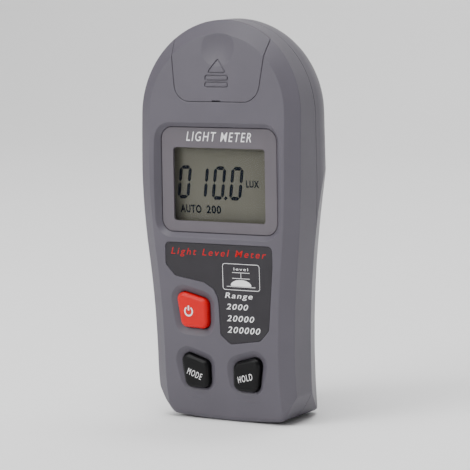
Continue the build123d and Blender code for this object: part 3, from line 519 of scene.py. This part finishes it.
def lettering(words, length, tall, shear=0.0, weight=0.0, spacing=1.1):
    """Flat letters from the built-in face, fitted to a length and height from their lower left corner."""
    curve = bpy.data.curves.new("lettering", "FONT")
    curve.body = words
    curve.shear = shear
    curve.offset = weight
    curve.space_character = spacing
    curve.resolution_u = 5
    item = bpy.data.objects.new("lettering", curve)
    bpy.context.scene.collection.objects.link(item)
    solid = item.evaluated_get(bpy.context.evaluated_depsgraph_get())
    mesh = bpy.data.meshes.new_from_object(solid)
    points = np.zeros(len(mesh.vertices) * 3)
    mesh.vertices.foreach_get("co", points)
    points = points.reshape(-1, 3)[:, :2]
    faces = [tuple(polygon.vertices) for polygon in mesh.polygons]
    bpy.data.objects.remove(item)
    bpy.data.curves.remove(curve)
    bpy.data.meshes.remove(mesh)
    low = points.min(0)
    reach = points.max(0) - low
    return (points - low) / reach * (length, tall), faces


def turned(flat, x, z, angle=0.0):
    """Points turned about their lower left corner and moved to (x, z)."""
    c, s = math.cos(angle), math.sin(angle)
    return flat @ np.array([[c, s], [-s, c]]) + (x, z)


def segment(start, end, half):
    """One straight segment with pointed ends."""
    start, end = np.array(start), np.array(end)
    run = (end - start) / np.linalg.norm(end - start)
    line = [start, start + run * half, end - run * half, end]
    return ribbon(line, [half * 0.05, half, half, half * 0.05])


def digit(lit, wide, tall, stroke, gap):
    """Seven-segment digit from its lower left corner; lit names its segments."""
    a, b, m = stroke / 2, wide - stroke / 2, tall / 2
    top, low = tall - stroke / 2, stroke / 2
    ends = {
        "a": ((a + gap, top), (b - gap, top)), "b": ((b, m + gap), (b, top - gap)),
        "c": ((b, low + gap), (b, m - gap)), "d": ((a + gap, low), (b - gap, low)),
        "e": ((a, low + gap), (a, m - gap)), "f": ((a, m + gap), (a, top - gap)),
        "g": ((a + gap, m), (b - gap, m)),
    }
    return join_flat([segment(*ends[name], stroke / 2) for name in lit])


def power_sign():
    """Ring that is open at the top, with an upright bar from a little above its middle to above the gap."""
    x, z, radius, half = POWER_SIGN
    open_half = 35
    ring = ribbon(arc(x, z, radius, 90 + open_half, 450 - open_half, 33), half)
    bar = ribbon([(x, z + 0.2 * radius), (x, z + 1.3 * radius)], half)
    return join_flat([ring, bar])


def symbol_dome():
    """Half-round sensor: at share u of its half width it stands rise sqrt(1 - 0.98 u u) above its foot."""
    x, foot, half_width, rise = SYMBOL_DOME
    across = np.linspace(-1.0, 1.0, 25)
    tall = rise * np.sqrt(1.0 - across ** 2 * 0.98)
    return ribbon(np.stack([x + half_width * across, foot + tall / 2], 1), tall / 2)


def arc(x, z, radius, start, end, count):
    """Points on a circle, angles in degrees from +X towards +Z."""
    turn = np.radians(np.linspace(start, end, count))
    return np.stack([x + radius * np.cos(turn), z + radius * np.sin(turn)], 1)


def rounded_frame(x0, x1, z0, z1, corner):
    """Closed line round a rectangle with round corners."""
    parts = [
        arc(x1 - corner, z1 - corner, corner, 0, 90, 9),
        arc(x0 + corner, z1 - corner, corner, 90, 180, 9),
        arc(x0 + corner, z0 + corner, corner, 180, 270, 9),
        arc(x1 - corner, z0 + corner, corner, 270, 360, 9),
    ]
    return np.concatenate(parts)


# ---- Operators ---------------------------------------------------------------------------------
class METER_OT_housing(Operator):
    """Satin moulded finish on the shells, the sensor cap and the battery door"""
    bl_idname = "meter.housing"
    bl_label = "Housing Finish"

    def execute(self, context):
        paint("front_shell", "rear_shell", "sensor_cap", "battery_door")
        return {"FINISHED"}


class METER_OT_display(Operator):
    """Finish of the display plate, its window, the segment cell and what holds it"""
    bl_idname = "meter.display"
    bl_label = "Display Finish"

    def execute(self, context):
        paint("display_plate", "display_window", "lcd_glass", "lcd_reflector", "lcd_holder", "zebra_strips")
        return {"FINISHED"}


class METER_OT_controls(Operator):
    """Finish of the label, the keys, their plungers and switches"""
    bl_idname = "meter.controls"
    bl_label = "Keys and Label Finish"

    def execute(self, context):
        for key in ("power", "mode", "hold"):
            paint(f"{key}_button", f"{key}_plunger")
        paint("label_panel", "tact_switches")
        return {"FINISHED"}


class METER_OT_electronics(Operator):
    """Finish of the boards, their parts and the light sensor"""
    bl_idname = "meter.electronics"
    bl_label = "Electronics Finish"

    def execute(self, context):
        paint("main_board", "processor_chip", "board_chips", "crystal", "capacitors", "board_screws")
        paint("sensor_dome", "sensor_ring", "colour_filter", "photodiode", "sensor_board", "sensor_leads")
        return {"FINISHED"}


class METER_OT_supply(Operator):
    """Finish of the cells with their end bands, the contacts, leads, pad, screws and rear label"""
    bl_idname = "meter.supply"
    bl_label = "Battery Finish"

    def execute(self, context):
        paint("battery_springs", "battery_contacts", "battery_leads", "battery_pad")
        paint("housing_screws", "rear_label")
        for index, up in ((1, True), (2, False), (3, True)):
            low, high = (corner[2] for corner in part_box(f"battery_{index}"))
            start = high - BAND_LENGTH if up else low + BAND_LENGTH
            end = start + (BAND_BLUR if up else -BAND_BLUR)
            band = (start, end, BAND_COLOUR)
            mesh = frame["nodes"][f"battery_{index}"].data
            mesh.materials.clear()
            mesh.materials.append(finish("cell", f"finish_cell_{index}", band=band))
        return {"FINISHED"}


class METER_OT_reading(Operator):
    """Lit segments of the display: the reading, its unit and the range"""
    bl_idname = "meter.reading"
    bl_label = "Display Reading"

    def execute(self, context):
        sizes = context.scene.meter_print
        wide, tall, stroke = sizes.digit_wide, sizes.digit_tall, sizes.digit_stroke
        pieces = []
        for place, lit in enumerate(("abcdef", "bc", "abcdef", "abcdef")):
            flat, faces = digit(lit, wide, tall, stroke, 0.12 * stroke)
            pieces.append((flat + (place * sizes.digit_pitch, 0.0), faces))
        point = 3 * sizes.digit_pitch - (sizes.digit_pitch - wide) / 2 - 0.2 * stroke
        level = 0.5 * stroke
        reach = 0.6 * stroke
        pieces.append(segment((point - reach, level), (point + reach, level), 0.55 * stroke))
        flat, faces = join_flat(pieces)
        flat[:, 0] += sizes.digit_slant * flat[:, 1]
        flat += (sizes.digit_left, sizes.digit_low)
        print_piece("reading_digits", flat, faces, "lcd_glass", "segment")
        for name, text, x, z, length, height in READING_WORDS:
            flat, faces = lettering(text, length, height, weight=0.035, spacing=1.15)
            print_piece(f"reading_{name}", turned(flat, x, z), faces, "lcd_glass", "segment")
        return {"FINISHED"}


class METER_OT_plate_title(Operator):
    """Slanted bold title on the display plate"""
    bl_idname = "meter.plate_title"
    bl_label = "Plate Title"

    def execute(self, context):
        sizes = context.scene.meter_print
        flat, faces = lettering(sizes.plate_words, sizes.plate_length, sizes.plate_tall, shear=TITLE_SHEAR,
                                weight=TITLE_WEIGHT, spacing=1.25)
        flat = turned(flat, sizes.plate_left, sizes.plate_low)
        print_piece("plate_title", flat, faces, "display_plate", "white_print")
        return {"FINISHED"}


class METER_OT_label_print(Operator):
    """Label's title, sensor symbol and list of ranges"""
    bl_idname = "meter.label_print"
    bl_label = "Label Print"

    def execute(self, context):
        sizes = context.scene.meter_print
        half = sizes.line / 2
        flat, faces = lettering(sizes.label_words, sizes.label_length, sizes.label_tall, shear=TITLE_SHEAR,
                                weight=TITLE_WEIGHT, spacing=1.35)
        flat = turned(flat, sizes.label_left, sizes.label_low)
        print_piece("label_title", flat, faces, "label_panel", "red_print")
        box = ribbon(rounded_frame(*SYMBOL_BOX), half, closed=True)
        print_piece("symbol_frame", *box, "label_panel", "white_print")
        lines = [symbol_dome()] + [ribbon(ends, half) for ends in SYMBOL_LINES]
        print_piece("symbol_lines", *join_flat(lines), "label_panel", "white_print")
        for name, text, x, z, length, height, shear in RANGE_ROWS:
            weight = 0.0 if name == "level" else 0.006
            flat, faces = lettering(text, length, height, shear=shear, weight=weight, spacing=1.2)
            flat = turned(flat, sizes.range_left + x, z)
            print_piece(f"range_{name}", flat, faces, "label_panel", "white_print")
        return {"FINISHED"}


class METER_OT_key_print(Operator):
    """Words on the lower keys and the power sign on the red key"""
    bl_idname = "meter.key_print"
    bl_label = "Key Print"

    def execute(self, context):
        tall = context.scene.meter_print.key_tall
        for key, text, x, z, length, turn in KEY_WORDS:
            flat, faces = lettering(text, length, tall, shear=0.15, weight=0.0, spacing=1.25)
            flat = turned(flat, x, z, math.radians(turn))
            print_piece(f"{key}_word", flat, faces, f"{key}_button", "white_print")
        print_piece("power_sign", *power_sign(), "power_button", "white_print")
        return {"FINISHED"}


class METER_OT_rear_print(Operator):
    """Border and ruled lines of the plain rear label"""
    bl_idname = "meter.rear_print"
    bl_label = "Rear Label Print"

    def execute(self, context):
        (x0, _, z0), (x1, _, z1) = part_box("rear_label")
        half = context.scene.meter_print.line / 2
        box = rounded_frame(x0 + BORDER_INSET, x1 - BORDER_INSET, z0 + BORDER_INSET, z1 - BORDER_INSET,
                            BORDER_CORNER)
        border = ribbon(box, half, closed=True)
        levels = np.linspace(z0 + ROW_ABOVE, z1 - ROW_ABOVE, 4)
        rows = [ribbon([(x0 + ROW_INSET, z), (x1 - ROW_INSET, z)], half) for z in levels]
        print_piece("rear_lines", *join_flat([border] + rows), "rear_label", "segment", toward=-1.0)
        return {"FINISHED"}


def aim(item, place, target, roll=0.0):
    """Put a light or camera at a place, looking at a target."""
    back = (Vector(place) - Vector(target)).normalized()
    turn = back.to_track_quat("Z", "Y").to_matrix() @ Matrix.Rotation(roll, 3, "Z")
    item.matrix_world = Matrix.Translation(place) @ turn.to_4x4()


def softbox(name, power, wide, high, place, target):
    """Rectangular area light."""
    light = bpy.data.lights.new(name, "AREA")
    light.shape = "RECTANGLE"
    light.energy = power
    light.size = wide
    light.size_y = high
    item = bpy.data.objects.new(name, light)
    bpy.context.scene.collection.objects.link(item)
    aim(item, place, target)


def backdrop():
    """Studio sweep: its profile (floor, quarter circle, wall) is carried along X, point (x, y(s), z(s))."""
    turn = np.linspace(-math.pi / 2, 0.0, 25)
    middle = np.array([SWEEP_WALL - SWEEP_ROUND, SWEEP_ROUND])
    curve = middle + SWEEP_ROUND * np.stack([np.cos(turn), np.sin(turn)], 1)
    profile = np.concatenate([[(-SWEEP_REACH, 0.0)], curve, [(SWEEP_WALL, SWEEP_REACH)]])
    count = len(profile)
    xs = np.linspace(-SWEEP_REACH, SWEEP_REACH, 5)
    points = np.column_stack([np.repeat(xs, count), np.tile(profile, (len(xs), 1))])
    faces = [(i * count + j, (i + 1) * count + j, (i + 1) * count + j + 1, i * count + j + 1)
             for i in range(len(xs) - 1) for j in range(count - 1)]
    mesh = bpy.data.meshes.new("backdrop")
    mesh.from_pydata(points.tolist(), [], faces)
    mesh.shade_smooth()
    mesh.materials.append(finish("floor"))
    item = bpy.data.objects.new("backdrop", mesh)
    bpy.context.scene.collection.objects.link(item)


class METER_OT_stage(Operator):
    """Pale sweep, soft lights and the camera"""
    bl_idname = "meter.stage"
    bl_label = "Studio"

    def execute(self, context):
        stage = context.scene.meter_stage
        backdrop()
        target = Vector((stage.aim_x, 0.0, stage.aim_z))
        for name, wide, high, place, towards in SOFTBOXES:
            softbox(f"{name}_light", getattr(stage, f"{name}_power"), wide, high, place, towards or target)
        world = context.scene.world or bpy.data.worlds.new("studio")
        context.scene.world = world
        world.use_nodes = True
        ground = world.node_tree.nodes.get("Background") or world.node_tree.nodes.new("ShaderNodeBackground")
        ground.inputs["Color"].default_value = (1.0, 1.0, 1.0, 1.0)
        ground.inputs["Strength"].default_value = stage.sky
        camera = bpy.data.cameras.new("camera")
        camera.sensor_width = 36.0
        camera.lens = stage.lens
        camera.clip_start = 0.01
        item = bpy.data.objects.new("camera", camera)
        context.scene.collection.objects.link(item)
        context.scene.camera = item
        a, e = stage.azimuth, stage.elevation
        away = Vector((math.sin(a) * math.cos(e), -math.cos(a) * math.cos(e), math.sin(e)))
        aim(item, target + away * stage.distance, target, stage.roll)
        return {"FINISHED"}


OPERATORS = (METER_OT_housing, METER_OT_display, METER_OT_controls, METER_OT_electronics, METER_OT_supply,
             METER_OT_reading, METER_OT_plate_title, METER_OT_label_print, METER_OT_key_print,
             METER_OT_rear_print, METER_OT_stage)


class METER_PT_panel(Panel):
    """Steps that finish the meter"""
    bl_idname = "METER_PT_panel"
    bl_label = "Light Meter"
    bl_space_type = "VIEW_3D"
    bl_region_type = "UI"
    bl_category = "Light Meter"

    def draw(self, context):
        for operator in OPERATORS:
            self.layout.operator(operator.bl_idname)


CLASSES = (MeterColours, MeterPrint, MeterStage) + OPERATORS + (METER_PT_panel,)


def register():
    """Add the classes and the settings."""
    for item in CLASSES:
        bpy.utils.register_class(item)
    bpy.types.Scene.meter_colours = PointerProperty(type=MeterColours)
    bpy.types.Scene.meter_print = PointerProperty(type=MeterPrint)
    bpy.types.Scene.meter_stage = PointerProperty(type=MeterStage)


def unregister():
    """Take the settings and the classes away."""
    del bpy.types.Scene.meter_stage
    del bpy.types.Scene.meter_print
    del bpy.types.Scene.meter_colours
    for item in reversed(CLASSES):
        bpy.utils.unregister_class(item)


def main():
    """Run every step."""
    register()
    bpy.ops.meter.housing()
    bpy.ops.meter.display()
    bpy.ops.meter.controls()
    bpy.ops.meter.electronics()
    bpy.ops.meter.supply()
    bpy.ops.meter.reading()
    bpy.ops.meter.plate_title()
    bpy.ops.meter.label_print()
    bpy.ops.meter.key_print()
    bpy.ops.meter.rear_print()
    bpy.ops.meter.stage()


if __name__ == "__main__":
    main()
